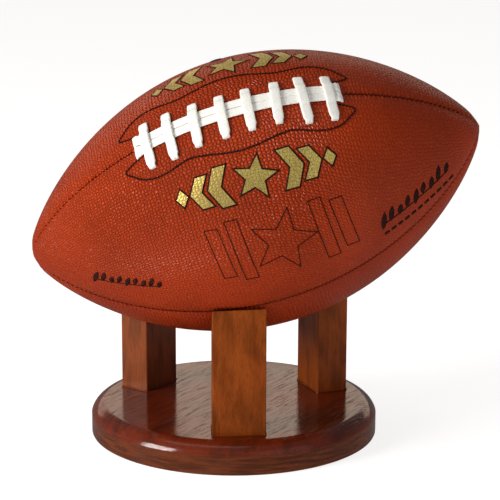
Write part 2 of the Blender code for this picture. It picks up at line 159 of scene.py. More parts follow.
def angle(name, text, degrees):
    return FloatProperty(name=name, description=text, default=math.radians(degrees),
                         subtype="ANGLE", unit="ROTATION")


class FootballBallSizes(PropertyGroup):
    """The ball's outline and how it lies on the posts."""
    long: length("Length", "Length of the ball, tip to tip", 0.285)
    across: length("Diameter", "Diameter of the ball at its middle", 0.164)
    fullness: FloatProperty(
        name="Fullness", description="Exponent of the outline, 0.5 is an ellipse",
        default=0.777, min=0.5, max=1.0)
    tilt: angle("Tilt", "How far the ball's axis rises", 16.4)
    turn: angle("Turn", "How far the ball is turned about the upright", 1.5)
    seam: angle("Laced seam", "Angle of the laced seam over the front", 48.0)


class FootballLaceSizes(PropertyGroup):
    """The lace's flat cord."""
    bar_width: length("Crossbar width", "Width of the lace in a crossbar", 0.0060)
    bar_thickness: length("Crossbar thickness", "Thickness of a crossbar", 0.0017)
    strand_width: length("Strand width", "Width of each lengthwise lace", 0.0054)
    strand_thickness: length("Strand thickness", "Thickness of a lengthwise lace", 0.0012)


class FootballStandSizes(PropertyGroup):
    """The wooden stand's turned base."""
    rim_radius: length("Rim radius", "Radius of the base's rounded upper rim", 0.010)
    rim_sweep: angle("Rim sweep", "How far the rounding turns before the crease", 72.0)
    base_steps: IntProperty(
        name="Base steps", description="Facets round the base", default=192, min=32)


class FootballColours(PropertyGroup):
    """The finishes' main colours."""
    leather: colour("Leather", "Pebbled leather", (0.465, 0.0415, 0.0025))
    leather_worn: colour("Worn leather", "Rubbed tops of pebbles", (0.520, 0.074, 0.015))
    # Painted shade: the dark colour laid in the valleys between the pebbles
    leather_valley_shade: colour("Leather valleys", "Between the pebbles", (0.085, 0.006, 0.002))
    lace: colour("Lace", "Off-white lace", (1.0, 1.0, 0.95))
    thread: colour("Outline thread", "Stitched outline round the lace", (0.024, 0.006, 0.005))
    foil: colour("Foil", "Gold foil of the emblem", (1.0, 0.74, 0.22))
    ink: colour("Ink", "Dark ink of the ornaments", (0.020, 0.008, 0.006))
    base_wood: colour("Base wood", "Dark walnut of the base", (0.125, 0.015, 0.0028))
    # The base's side: its own streaked grain, made lighter as a painted reflection of the pale
    # floor
    base_side_and_reflection: colour("Base side", "Bare side of the base", (0.112, 0.024, 0.0060))
    post_wood: colour("Post wood", "Warm walnut of the posts", (0.215, 0.0445, 0.0055))


# --- The ball's surface ---------------------------------------------------------------
def around(radius, turn):
    """Y and Z of a point round the ball's axis, from the -Y side towards +Z."""
    return (-radius * math.cos(turn), radius * math.sin(turn))


def smoothstep(low, high, value):
    share = max(0.0, min(1.0, (value - low) / (high - low)))
    return share * share * (3 - 2 * share)


class BallSkin:
    """Where the leather lies."""

    def __init__(self, sizes):
        self.half = sizes.long / 2
        self.body = sizes.across / 2
        self.fullness = sizes.fullness
        self.seam = sizes.seam
        corners = [corner for node in PANEL_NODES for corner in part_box(node)]
        low = Vector([min(corner[axis] for corner in corners) for axis in range(3)])
        high = Vector([max(corner[axis] for corner in corners) for axis in range(3)])
        turn = Matrix.Rotation(sizes.turn, 4, "Z") @ Matrix.Rotation(-sizes.tilt, 4, "Y")
        self.place = Matrix.Translation((low + high) / 2) @ turn
        self.holes = [(along * MM, end * MM) for along, *ends, _ in BARS for end in ends]

    def radius(self, along):
        return self.body * max(0.0, 1.0 - (along / self.half) ** 2) ** self.fullness

    def slope(self, along):
        step = 0.5 * MM
        reach = self.half - step
        middle = max(-reach, min(reach, along))
        return (self.radius(middle + step) - self.radius(middle - step)) / (2 * step)

    def blunt(self, along):
        over = abs(along) - TIP_START
        if over <= 0:
            return along
        flattening = TIP_FLATTENING[1 if along > 0 else 0]
        kept = over - flattening * over ** 2 / (2 * (self.half - TIP_START))
        return math.copysign(TIP_START + kept, along)

    def normal(self, along, turn):
        return Vector((-self.slope(along), *around(1.0, turn))).normalized()

    def at(self, along, turn, lift=0.0):
        """A point over the skin, by its angle round the axis."""
        spot = Vector((self.blunt(along), *around(self.radius(along), turn)))
        return spot + self.normal(along, turn) * lift

    def turn_of(self, along, offset):
        return self.seam + offset / max(self.radius(along), MM)

    def spread(self, turn):
        """How far a panel stands out so that the seams are open."""
        panel = math.floor((turn - self.seam) / QUARTER_TURN)
        middle = self.seam + (panel + 0.5) * QUARTER_TURN
        return Vector((0.0, *around(SEAM_HALF_GAP * math.sqrt(2), middle)))

    def laid(self, along, turn, lift=0.0):
        """A world point over the leather, which follows its dips."""
        spot = self.at(along, turn, lift - self.depth(along, turn))
        return self.place @ (spot + self.spread(turn))

    def over(self, along, offset, lift=0.0):
        return self.laid(along, self.turn_of(along, offset), lift)

    def frame_at(self, along, offset, lift=0.0, spin=0.0):
        """World frame on the leather: X along the ball, Z out of the skin."""
        turn = self.turn_of(along, offset)
        out = (self.place.to_3x3() @ self.normal(along, turn)).normalized()
        ahead = self.over(along + 0.5 * MM, offset) - self.over(along - 0.5 * MM, offset)
        ahead = (ahead - out * ahead.dot(out)).normalized()
        basis = Matrix((ahead, out.cross(ahead), out)).transposed().to_4x4()
        spot = Matrix.Translation(self.over(along, offset, lift))
        return spot @ basis @ Matrix.Rotation(spin, 4, "Z")

    def depth(self, along, turn):
        """How far the leather lies under the ball's outline."""
        radius = self.radius(along)
        quarter = (turn - self.seam) / QUARTER_TURN
        nearest = round(quarter)
        away = abs(quarter - nearest) * QUARTER_TURN * radius
        fade = min(1.0, radius / TIP_FADE)
        beat = 0.5 + 0.5 * math.cos(2 * math.pi * along / STITCH_PITCH)
        total = VALLEY_DEPTH * math.exp(-(away / VALLEY_REACH) ** 2)
        total += PUCKER_DEPTH * beat * math.exp(-(away / PUCKER_REACH) ** 2)
        if away < ROLL_REACH:
            share = 1 - away / ROLL_REACH
            total += ROLL_DEPTH * (1 - math.sqrt(1 - share ** 2))
        total *= fade
        offset = (turn - self.seam) * radius
        if abs(offset) < HOLE_SPAN:
            for hole, end in self.holes:
                gap = ((along - hole) ** 2 + (offset - end) ** 2) / HOLE_REACH ** 2
                if gap < 9:
                    total += HOLE_DIP * math.exp(-gap)
        spot = Vector((along, *around(radius, turn))) * UNEVEN_SCALE
        return total + UNEVENNESS * (1 + noise.noise(spot))

    def meridian(self, bands):
        """Evenly spaced places along the ball, from tip to tip."""
        places = [self.half * math.sin(QUARTER_TURN * (2 * k / MERIDIAN_STEPS - 1))
                  for k in range(MERIDIAN_STEPS + 1)]
        spots = [Vector((self.blunt(along), self.radius(along))) for along in places]
        walked = [0.0]
        for before, after in zip(spots, spots[1:]):
            walked.append(walked[-1] + (after - before).length)
        chosen, index = [], 0
        for band in range(bands + 1):
            goal = walked[-1] * band / bands
            while index < MERIDIAN_STEPS and walked[index] < goal:
                index += 1
            chosen.append(places[index])
        return chosen


def current_skin(context):
    return BallSkin(context.scene.football_ball)


# --- Making pieces --------------------------------------------------------------------
def add_piece(name, shape, materials, body, smooth_below=35.0):
    """Turns a bmesh whose place is in its mesh into a piece that rides on a body."""
    mesh = bpy.data.meshes.new(name)
    shape.to_mesh(mesh)
    shape.free()
    mesh.shade_smooth()
    mesh.set_sharp_from_angle(angle=math.radians(smooth_below))
    for material in materials:
        mesh.materials.append(material)
    item = bpy.data.objects.new(name, mesh)
    bpy.context.scene.collection.objects.link(item)
    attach(item, body)
    return item


def add_wall(item, thickness, offset):
    wall = item.modifiers.new("wall", "SOLIDIFY")
    wall.thickness = thickness
    wall.offset = offset
    wall.use_even_offset = False
    return wall


def paint(node, material):
    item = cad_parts[node]
    item.data.materials.clear()
    item.data.materials.append(material)


def chain(shape, points, closed=False):
    verts = [shape.verts.new(point) for point in points]
    ring = verts + verts[:1] if closed else verts
    edges = [shape.edges.new(pair) for pair in zip(ring, ring[1:])]
    return verts, edges


def turned(profile, steps, closed=False):
    """Spins a profile of (radius, height) pairs about Z."""
    shape = bmesh.new()
    verts, edges = chain(shape, [(r, 0.0, h) for r, h in profile], closed)
    bmesh.ops.spin(
        shape, geom=[*verts, *edges], cent=(0, 0, 0), axis=(0, 0, 1), dvec=(0, 0, 0),
        angle=2 * math.pi, steps=steps, use_merge=True, use_duplicate=False)
    bmesh.ops.remove_doubles(shape, verts=shape.verts, dist=WELD)
    bmesh.ops.recalc_face_normals(shape, faces=shape.faces)
    return shape


# --- Node helpers ---------------------------------------------------------------------
class Finish:
    """A node material under construction."""

    def __init__(self, name, shade=(0.5, 0.5, 0.5), **sockets):
        self.material = bpy.data.materials.new(name)
        self.material.use_nodes = True
        self.tree = self.material.node_tree
        self.shader = self.tree.nodes["Principled BSDF"]
        self.shader.inputs["Base Color"].default_value = (*shade, 1.0)
        for socket, value in sockets.items():
            title = socket.replace("_", " ").title().replace("Ior", "IOR")
            self.shader.inputs[title].default_value = value

    def node(self, kind, inputs=None, **settings):
        made = self.tree.nodes.new(kind)
        for key, value in settings.items():
            setattr(made, key, value)
        for key, value in (inputs or {}).items():
            if isinstance(value, bpy.types.NodeSocket):
                self.tree.links.new(value, made.inputs[key])
            else:
                made.inputs[key].default_value = value
        return made

    def coords(self, rotation=None, scale=None):
        """Object coordinates, turned and then scaled."""
        vector = self.node("ShaderNodeTexCoord").outputs["Object"]
        for key, value in (("Rotation", rotation), ("Scale", scale)):
            if value:
                vector = self.node("ShaderNodeMapping",
                                   {"Vector": vector, key: value}).outputs["Vector"]
        return vector

    def uv(self, layer, scale=(1.0, 1.0, 1.0)):
        source = self.node("ShaderNodeUVMap", uv_map=layer).outputs["UV"]
        return self.node("ShaderNodeMapping",
                         {"Vector": source, "Scale": scale}).outputs["Vector"]

    def noise(self, vector, scale, detail=2.0, roughness=0.5, distortion=0.0):
        made = self.node("ShaderNodeTexNoise", {
            "Vector": vector, "Scale": scale, "Detail": detail, "Roughness": roughness,
            "Distortion": distortion})
        return made.outputs["Fac"]

    def cells(self, vector, scale, feature, randomness=1.0, dimensions="3D"):
        made = self.node("ShaderNodeTexVoronoi", {
            "Vector": vector, "Scale": scale, "Randomness": randomness},
            feature=feature, voronoi_dimensions=dimensions)
        return made.outputs["Distance"]

    def between(self, value, low, high, start=0.0, end=1.0, smooth=True):
        made = self.node("ShaderNodeMapRange", {
            "Value": value, "From Min": low, "From Max": high, "To Min": start,
            "To Max": end}, interpolation_type="SMOOTHSTEP" if smooth else "LINEAR")
        return made.outputs["Result"]

    def sum(self, first, second, share=1.0):
        made = self.node("ShaderNodeMath", {0: second, 1: share, 2: first},
                         operation="MULTIPLY_ADD")
        return made.outputs["Value"]

    def times(self, first, second):
        return self.node("ShaderNodeMath", {0: first, 1: second},
                         operation="MULTIPLY").outputs["Value"]

    def mix(self, share, first, second, blend="MIX"):
        made = self.node("ShaderNodeMix", data_type="RGBA", blend_type=blend)
        sockets = [socket for socket in made.inputs if socket.enabled]
        for socket, value in zip(sockets, (share, first, second)):
            if isinstance(value, bpy.types.NodeSocket):
                self.tree.links.new(value, socket)
            elif isinstance(value, float):
                socket.default_value = value
            else:
                socket.default_value = (*value, 1.0)
        return next(socket for socket in made.outputs if socket.enabled)

    def bump(self, height, distance, strength=1.0):
        return self.node("ShaderNodeBump", {
            "Height": height, "Distance": distance, "Strength": strength}).outputs["Normal"]

    def plug(self, **sockets):
        for key, value in sockets.items():
            name = key.replace("_", " ").title()
            self.tree.links.new(value, self.shader.inputs[name])
        return self.material


def scaled(shade, factor):
    return tuple(min(1.0, part * factor) for part in shade)


# --- Finishes -------------------------------------------------------------------------
def leather_grain(finish):
    """Pebbles and the fine pores on them: (plateau, height)."""
    warp = finish.times(finish.noise(finish.coords(), 120.0, 2.0), 0.5)
    base = finish.uv("grain")
    shifted = finish.node("ShaderNodeVectorMath", {0: base, 1: warp},
                          operation="ADD").outputs["Vector"]
    edge = finish.cells(shifted, 1.0, "DISTANCE_TO_EDGE", 0.62, "2D")
    dome = finish.between(edge, -0.05, 0.44)
    pores = finish.noise(finish.coords(), 2600.0, 3.0, 0.6)
    return finish.between(edge, 0.0, 0.17), finish.sum(dome, pores, 0.06)


def leather_finish(colours):
    finish = Finish("ball_leather", roughness=0.42, specular_ior_level=0.20)
    plateau, height = leather_grain(finish)
    clouds = finish.noise(finish.coords(), 16.0, 3.0, 0.55)
    main = finish.mix(finish.between(clouds, 0.30, 0.70), scaled(colours.leather, 0.84),
                      scaled(colours.leather, 1.14))
    mottle = finish.noise(finish.coords(), 420.0, 2.0)
    worn = finish.mix(finish.between(mottle, 0.52, 0.78, 0.0, 0.6), main,
                      colours.leather_worn)
    spot = finish.node("ShaderNodeSeparateXYZ", {"Vector": finish.coords()})
    up = spot.outputs["Z"]
    # How strongly the grain shows: the bump and the painted valley shade both fade towards the
    # bottom and the raised end, where less light falls
    crisp = finish.times(finish.between(up, 0.105, 0.165, 0.60, 1.0),
                         finish.between(spot.outputs["X"], 0.035, 0.085, 1.0, 0.38))
    # Painted shade between the pebbles: the valleys take the dark colour, weaker where crisp
    # is low
    valleys = finish.between(plateau, 0.0, 1.0, 0.20, 1.0, smooth=False)
    valleys = finish.sum(1.0, finish.times(crisp, finish.sum(-1.0, valleys)), 1.0)
    shade = finish.mix(valleys, colours.leather_valley_shade, worn)
    # Painted shade: the leather's colour darkens towards the bottom of the ball
    shade = finish.mix(finish.between(up, 0.105, 0.170, 1.0, 0.0), shade,
                       (0.72, 0.69, 0.66), "MULTIPLY")
    # Painted shade: the leather's colour darkens towards the raised end
    shade = finish.mix(finish.between(spot.outputs["X"], 0.030, 0.095), shade,
                       (0.76, 0.72, 0.62), "MULTIPLY")
    rough = finish.between(plateau, 0.0, 1.0, 0.55, 0.31, smooth=False)
    return finish.plug(base_color=shade, roughness=rough,
                       normal=finish.bump(height, 0.75 * MM, crisp))


def foil_finish(colours):
    finish = Finish("gold_foil", metallic=0.75, roughness=0.40)
    plateau, height = leather_grain(finish)
    flecks = finish.noise(finish.coords(), 1300.0, 2.0)
    clouds = finish.noise(finish.coords(), 34.0, 2.0)
    main = finish.mix(finish.between(clouds, 0.3, 0.7), scaled(colours.foil, 0.72),
                      scaled(colours.foil, 1.1))
    # Painted shade: the foil is darker in the grain's valleys
    shade = finish.mix(finish.between(plateau, 0.0, 0.5, 0.45, 1.0), (0.16, 0.085, 0.018),
                       main)
    shade = finish.mix(finish.between(flecks, 0.50, 0.62, 0.0, 0.70), shade,
                       (0.34, 0.20, 0.03))
    rough = finish.between(flecks, 0.3, 0.7, 0.30, 0.48)
    return finish.plug(base_color=shade, roughness=rough,
                       normal=finish.bump(height, 0.12 * MM, 0.6))


def ink_finish(colours):
    finish = Finish("dark_ink", roughness=0.6, specular_ior_level=0.08)
    _, height = leather_grain(finish)
    thin = finish.noise(finish.coords(), 700.0, 2.0)
    shade = finish.mix(finish.between(thin, 0.40, 0.85), colours.ink,
                       scaled(colours.leather_valley_shade, 0.9))
    return finish.plug(base_color=shade, normal=finish.bump(height, 0.20 * MM, 0.7))


def lace_finish(colours):
    finish = Finish("lace_white", roughness=0.55, sheen_weight=0.45)
    weave = finish.uv("weave", (1.0 / (1.25 * MM), 1.0 / (1.7 * MM), 1.0))
    turned_weave = finish.node("ShaderNodeMapping", {
        "Vector": weave, "Rotation": (0.0, 0.0, math.radians(38))}).outputs["Vector"]
    knots = finish.cells(turned_weave, 1.0, "SMOOTH_F1", 0.35, "2D")
    fibre = finish.noise(finish.coords(), 2400.0, 2.0)
    height = finish.sum(finish.between(knots, 0.10, 0.62, 1.0, 0.0), fibre, 0.2)
    # Painted shade: the weave is darker between its knots
    shade = finish.mix(finish.between(knots, 0.34, 0.68), colours.lace,
                       scaled(colours.lace, 0.86))
    soil = finish.noise(finish.coords(), 90.0, 3.0)
    shade = finish.mix(finish.between(soil, 0.55, 0.82, 0.0, 0.25), shade,
                       (0.66, 0.66, 0.56))
    return finish.plug(base_color=shade, normal=finish.bump(height, 0.20 * MM, 0.5))


def thread_finish(name, shade):
    finish = Finish(name, roughness=0.8, specular_ior_level=0.06)
    ply = finish.noise(finish.coords(), 2200.0, 2.0)
    mixed = finish.mix(finish.between(ply, 0.35, 0.7), shade, scaled(shade, 1.8))
    return finish.plug(base_color=mixed, normal=finish.bump(ply, 0.15 * MM, 0.6))


def wood_finish(name, main, rotation, satin, coat, pore, slant=0.0, side=None):
    """Wood whose grain runs along its own X once turned. A side is (height, shade): a streaked
    tone below that height, the side's grain lightened as a painted reflection of the floor.
    """
    finish = Finish(name, roughness=0.5, specular_ior_level=satin, coat_weight=coat,
                    coat_roughness=0.11)
    bands = finish.noise(finish.coords(rotation, (1.0, 8.0, 8.0)), 18.0, 4.0, 0.55, 0.8)
    fine = finish.noise(finish.coords(rotation, (1.0, 30.0, 30.0)), 38.0, 4.0, 0.65)
    slanted = (rotation[0], rotation[1] + slant, rotation[2])
    clouds = finish.noise(finish.coords(slanted, (1.0, 4.0, 4.0)), 17.0, 2.0)
    shade = finish.mix(finish.between(bands, 0.30, 0.68), scaled(main, 0.62),
                       scaled(main, 1.25))
    shade = finish.mix(finish.between(fine, 0.44, 0.66, 0.0, 0.55), shade,
                       scaled(main, 0.48))
    shade = finish.mix(finish.between(clouds, 0.36, 0.66, 0.0, 0.6), shade,
                       scaled(main, 1.5))
    # Below the side's height the wood takes the side's streaked tone: its own grain, lightened
    # as a painted reflection of the pale floor
    if side:
        height = finish.node("ShaderNodeSeparateXYZ",
                             {"Vector": finish.coords()}).outputs["Z"]
        streaks = finish.noise(finish.coords(scale=(1.0, 1.0, 11.0)), 55.0, 4.0, 0.6)
        light = finish.mix(finish.between(streaks, 0.36, 0.64), scaled(side[1], 1.3),
                           scaled(side[1], 0.62))
        shade = finish.mix(finish.between(height, side[0] - 1.5 * MM, side[0] + 0.4 * MM),
                           light, shade)
    pores = finish.noise(finish.coords(rotation, (1.0, *pore[:2])), pore[2], 2.0, 0.5)
    open_pores = finish.between(pores, 0.57, 0.68)
    shade = finish.mix(finish.times(open_pores, pore[3]), shade, scaled(main, 0.3))
    rough = finish.between(fine, 0.3, 0.7, 0.42, 0.56)
    relief = finish.sum(finish.between(open_pores, 0.0, 1.0, 1.0, 0.0), fine, 0.2)
    bumped = finish.bump(relief, 0.10 * MM, 0.5)
    return finish.plug(base_color=shade, roughness=rough, normal=bumped,
                       coat_normal=finish.bump(relief, 0.30 * MM, pore[3]))


def rubber_finish(name):
    finish = Finish(name, roughness=0.55)
    specks = finish.noise(finish.coords(), 1500.0, 2.0)
    shade = finish.mix(finish.between(specks, 0.35, 0.7), (0.009, 0.009, 0.010),
                       (0.026, 0.025, 0.026))
    rough = finish.between(specks, 0.3, 0.7, 0.46, 0.62)
    return finish.plug(base_color=shade, roughness=rough,
                       normal=finish.bump(specks, 0.05 * MM, 0.4))


def felt_finish():
    finish = Finish("felt_green", roughness=0.95, sheen_weight=0.5)
    fibre = finish.noise(finish.coords(), 1400.0, 4.0, 0.7, 1.5)
    shade = finish.mix(finish.between(fibre, 0.3, 0.7), (0.006, 0.022, 0.011),
                       (0.018, 0.060, 0.030))
    return finish.plug(base_color=shade, normal=finish.bump(fibre, 0.3 * MM, 0.8))


def canvas_finish():
    finish = Finish("lining_canvas", roughness=0.9)
    threads = finish.cells(finish.coords(), 1100.0, "F1", 0.25)
    shade = finish.mix(finish.between(threads, 0.1, 0.7), (0.62, 0.54, 0.40),
                       (0.34, 0.28, 0.19))
    return finish.plug(base_color=shade, normal=finish.bump(threads, 0.1 * MM, 0.5))


def split_leather_finish():
    finish = Finish("tongue_leather", roughness=0.8, sheen_weight=0.2)
    nap = finish.noise(finish.coords(), 1200.0, 4.0, 0.65)
    shade = finish.mix(finish.between(nap, 0.3, 0.7), (0.20, 0.085, 0.035),
                       (0.33, 0.16, 0.07))
    return finish.plug(base_color=shade, normal=finish.bump(nap, 0.1 * MM, 0.6))


def steel_finish():
    finish = Finish("zinc_steel", metallic=1.0, roughness=0.34)
    brushed = finish.noise(finish.coords(scale=(1.0, 1.0, 6.0)), 900.0, 2.0)
    shade = finish.mix(finish.between(brushed, 0.3, 0.7), (0.46, 0.46, 0.44),
                       (0.66, 0.66, 0.63))
    rough = finish.between(brushed, 0.3, 0.7, 0.26, 0.44)
    return finish.plug(base_color=shade, roughness=rough)


# --- Leather panels -------------------------------------------------------------------
def grain_place(skin, along, turn, first):
    """Where a point falls in the pattern of pebbles, in pebbles."""
    def gathered(way, reach):
        extra = (1 / PEBBLE_NEAR - 1 / PEBBLE_FAR) * reach * math.sqrt(math.pi) / 2
        return way / PEBBLE_FAR + extra * math.erf(way / reach)

    girth = skin.radius(along) ** 0.55 * skin.body ** 0.45
    stretch = 1 - PEBBLE_STRETCH * smoothstep(STRETCH_FROM, STRETCH_TO, along)
    middle = first + QUARTER_TURN / 2
    start = min((skin.seam, skin.seam + 2 * QUARTER_TURN), key=lambda seam: abs(seam - middle))
    round_way = gathered((turn - start) * girth, PEBBLE_ROUND)
    return (gathered(along, PEBBLE_ALONG), round_way * stretch)


def lay_grain(shape, pattern):
    """Writes each vertex's place in the pattern of pebbles."""
    layer = shape.loops.layers.uv.new("grain")
    for face in shape.faces:
        for loop in face.loops:
            loop[layer].uv = pattern[loop.vert.index]


def panel_shape(skin, index):
    """A quarter of the ball: a meridian spun through a right angle, then settled."""
    first = skin.seam + (index - 1) * QUARTER_TURN
    shape = bmesh.new()
    places = skin.meridian(PANEL_BANDS)
    verts, edges = chain(shape, [(s, *around(skin.radius(s), first)) for s in places])
    bmesh.ops.spin(
        shape, geom=[*verts, *edges], cent=(0, 0, 0), axis=(-1, 0, 0), dvec=(0, 0, 0),
        angle=QUARTER_TURN, steps=PANEL_STEPS, use_merge=False, use_duplicate=False)
    bmesh.ops.remove_doubles(shape, verts=shape.verts, dist=WELD)
    shape.verts.index_update()
    spread = skin.spread(first + QUARTER_TURN / 2)
    pattern = []
    for vert in shape.verts:
        along = vert.co.x
        share = 0.5
        if math.hypot(vert.co.y, vert.co.z) > WELD:
            turn = math.atan2(vert.co.z, -vert.co.y)
            share = ((turn - first + 1.0) % (2 * math.pi) - 1.0) / QUARTER_TURN
            share = max(0.0, min(1.0, share))
        share -= PANEL_CROWDING * math.sin(2 * math.pi * share) / (2 * math.pi)
        turn = first + share * QUARTER_TURN
        vert.co = skin.place @ (skin.at(along, turn, -skin.depth(along, turn)) + spread)
        pattern.append(grain_place(skin, along, turn, first))
    lay_grain(shape, pattern)
    face_outwards(shape, skin)
    return shape


def face_outwards(shape, skin):
    """Turns an open skin's faces away from the ball's middle."""
    bmesh.ops.recalc_face_normals(shape, faces=shape.faces)
    shape.normal_update()
    middle = skin.place.translation
    score = sum(face.normal.dot(face.calc_center_median() - middle) for face in shape.faces)
    if score < 0:
        bmesh.ops.reverse_faces(shape, faces=shape.faces)


class FOOTBALL_OT_panels(Operator):
    """Makes the four leather panels, turned in and puckered at their seams"""
    bl_idname = "football.panels"
    bl_label = "Leather panels"

    def execute(self, context):
        skin = current_skin(context)
        leather = leather_finish(context.scene.football_colours)
        for index, node in enumerate(PANEL_NODES):
            name = node.replace("panel", "leather")
            item = add_piece(name, panel_shape(skin, index), [leather], BALL_BODY,
                             60.0)
            add_wall(item, PANEL_WALL, -1.0)
            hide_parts(node)
        return {"FINISHED"}


# --- Stitches -------------------------------------------------------------------------
def add_stitch(shape, place, long, wide, high):
    size = Matrix.Diagonal((long / 2, wide / 2, high / 2, 1.0))
    bmesh.ops.create_uvsphere(shape, u_segments=8, v_segments=5, radius=1.0,
                              matrix=place @ size)


class FOOTBALL_OT_seams(Operator):
    """Sews the four seams with short threads down in their valleys"""
    bl_idname = "football.seams"
    bl_label = "Seam stitches"

    def execute(self, context):
        skin = current_skin(context)
        # The seam threads' near-black colour is partly their own and partly painted shade in
        # the stitch pits
        thread = thread_finish("seam_thread_and_pit_shade", (0.055, 0.006, 0.003))
        reach = skin.half - SEAM_END
        count = int(reach / STITCH_PITCH)
        for index, name in enumerate(("laced", "rear", "low_rear", "low_front")):
            shape = bmesh.new()
            for step in range(-count, count + 1):
                along = (step + 0.5) * STITCH_PITCH
                laced = STRAND_ENDS[0] < along < STRAND_ENDS[1]
                if abs(along) > reach or (index == 0 and laced):
                    continue
                offset = index * QUARTER_TURN * skin.radius(along)
                sunk = SEAM_STITCH_SUNK if index == 0 and along < 0 else 0.0
                place = skin.frame_at(along, offset, SEAM_STITCH_LIFT - sunk,
                                      SEAM_STITCH_LEAN)
                add_stitch(shape, place, *SEAM_STITCH)
            add_piece(f"seam_stitches_{name}", shape, [thread], BALL_BODY)
        return {"FINISHED"}


def smooth_path(points, per_span):
    """A smooth curve through points (Catmull-Rom)."""
    padded = [2 * points[0] - points[1], *points, 2 * points[-1] - points[-2]]
    path = []
    for before, start, end, after in zip(padded, padded[1:], padded[2:], padded[3:]):
        for step in range(per_span):
            t = step / per_span
            path.append(0.5 * (2 * start + (end - before) * t
                               + (2 * before - 5 * start + 4 * end - after) * t * t
                               + (3 * start - before - 3 * end + after) * t ** 3))
    path.append(points[-1].copy())
    return path


def walk(path, pitch):
    """Points at a steady pitch along a path, with the direction there."""
    travelled, goal = 0.0, pitch / 2
    for start, end in zip(path, path[1:]):
        span = (end - start).length
        while span > 0 and goal <= travelled + span:
            spot = start.lerp(end, (goal - travelled) / span)
            yield spot, math.atan2(end.y - start.y, end.x - start.x)
            goal += pitch
        travelled += span


class FOOTBALL_OT_outline(Operator):
    """Stitches the dark waved outline round the lacing"""
    bl_idname = "football.outline"
    bl_label = "Stitched outline"

    def execute(self, context):
        skin = current_skin(context)
        thread = thread_finish("outline_thread", context.scene.football_colours.thread)
        half = [Vector((share * WING_HALF, off * MM)) for share, off in WING]
        whole = [Vector((-spot.x, spot.y)) for spot in half[:0:-1]] + half
        shape = bmesh.new()
        for side in (-1, 1):
            path = smooth_path(
                [Vector((spot.x + WING_CENTRE, side * spot.y)) for spot in whole], 12)
            for spot, heading in walk(path, OUTLINE_PITCH):
                place = skin.frame_at(spot.x, spot.y, OUTLINE_LIFT,
                                      heading + OUTLINE_TWIST)
                add_stitch(shape, place, *OUTLINE_STITCH)
        add_piece("outline_stitching", shape, [thread], BALL_BODY)
        return {"FINISHED"}


# --- Lace -----------------------------------------------------------------------------
def flat_ring(shape, unit):
    """A flat cord's section, as a squared circle of unit size."""
    ring = bmesh.ops.create_circle(shape, cap_ends=False, segments=LACE_SEGMENTS, radius=1.0)
    for vert in ring["verts"]:
        x, y = vert.co.x, vert.co.y
        vert[unit] = (math.copysign(abs(x) ** 0.42, x), math.copysign(abs(y) ** 0.70, y), 0)
    return ring["verts"]


def sweep(shape, spine):
    """Extrudes a flat cord along frames, each with its width and thickness."""
    unit = shape.verts.layers.float_vector.get("unit") or \
        shape.verts.layers.float_vector.new("unit")
    gone = shape.verts.layers.float.get("gone") or shape.verts.layers.float.new("gone")
    verts = flat_ring(shape, unit)
    edges = list({edge for vert in verts for edge in vert.link_edges})
    first, travelled = edges, 0.0
    for index, (place, width, thick) in enumerate(spine):
        if index:
            pulled = bmesh.ops.extrude_edge_only(shape, edges=edges)["geom"]
            verts = [part for part in pulled if isinstance(part, bmesh.types.BMVert)]
            edges = [part for part in pulled if isinstance(part, bmesh.types.BMEdge)]
            edges = [edge for edge in edges if all(vert in verts for vert in edge.verts)]
            travelled += (place.translation - spine[index - 1][0].translation).length
        for vert in verts:
            x, y, _ = vert[unit]
            vert.co = place @ Vector((x * width / 2, y * thick / 2, 0.0))
            vert[gone] = travelled
    bmesh.ops.edgeloop_fill(shape, edges=first)
    bmesh.ops.edgeloop_fill(shape, edges=edges)


def lay_weave(shape, width):
    """The weave runs across and along the cord."""
    unit = shape.verts.layers.float_vector["unit"]
    gone = shape.verts.layers.float["gone"]
    weave = shape.loops.layers.uv.new("weave")
    for face in shape.faces:
        for loop in face.loops:
            loop[weave].uv = (loop.vert[unit][0] * width / 2, loop.vert[gone])


def spine_frames(points, across):
    """Frames along points: X is the cord's width, Y its face, Z its run."""
    frames = []
    for index, point in enumerate(points):
        before = points[max(0, index - 1)]
        after = points[min(len(points) - 1, index + 1)]
        run = (after - before).normalized()
        wide = (across[index] - run * across[index].dot(run)).normalized()
        basis = Matrix((wide, run.cross(wide), run)).transposed().to_4x4()
        frames.append(Matrix.Translation(point) @ basis)
    return frames


def bar_path(upper, lower, sizes):
    """A crossbar's middle line: (distance round, height), out of one hole, into the other."""
    rest = BAR_CLEAR + sizes.bar_thickness / 2
    hump = BAR_CLEAR + sizes.strand_thickness
    path = [(upper, -DIVE_DEPTH), (upper, rest - DIVE_RADIUS)]
    for step in range(1, CORNER_STEPS):
        swing = QUARTER_TURN * step / CORNER_STEPS
        path.append((upper - DIVE_RADIUS * (1 - math.cos(swing)),
                     rest - DIVE_RADIUS * (1 - math.sin(swing))))
    run = lower - upper + 2 * DIVE_RADIUS
    for step in range(BAR_STEPS + 1):
        offset = upper - DIVE_RADIUS + run * step / BAR_STEPS
        over = 1 - smoothstep(4.6 * MM, 8.2 * MM, abs(offset))
        path.append((offset, rest + hump * over))
    for step in range(CORNER_STEPS - 1, 0, -1):
        swing = QUARTER_TURN * step / CORNER_STEPS
        path.append((lower + DIVE_RADIUS * (1 - math.cos(swing)),
                     rest - DIVE_RADIUS * (1 - math.sin(swing))))
    return path + [(lower, rest - DIVE_RADIUS), (lower, -DIVE_DEPTH)]


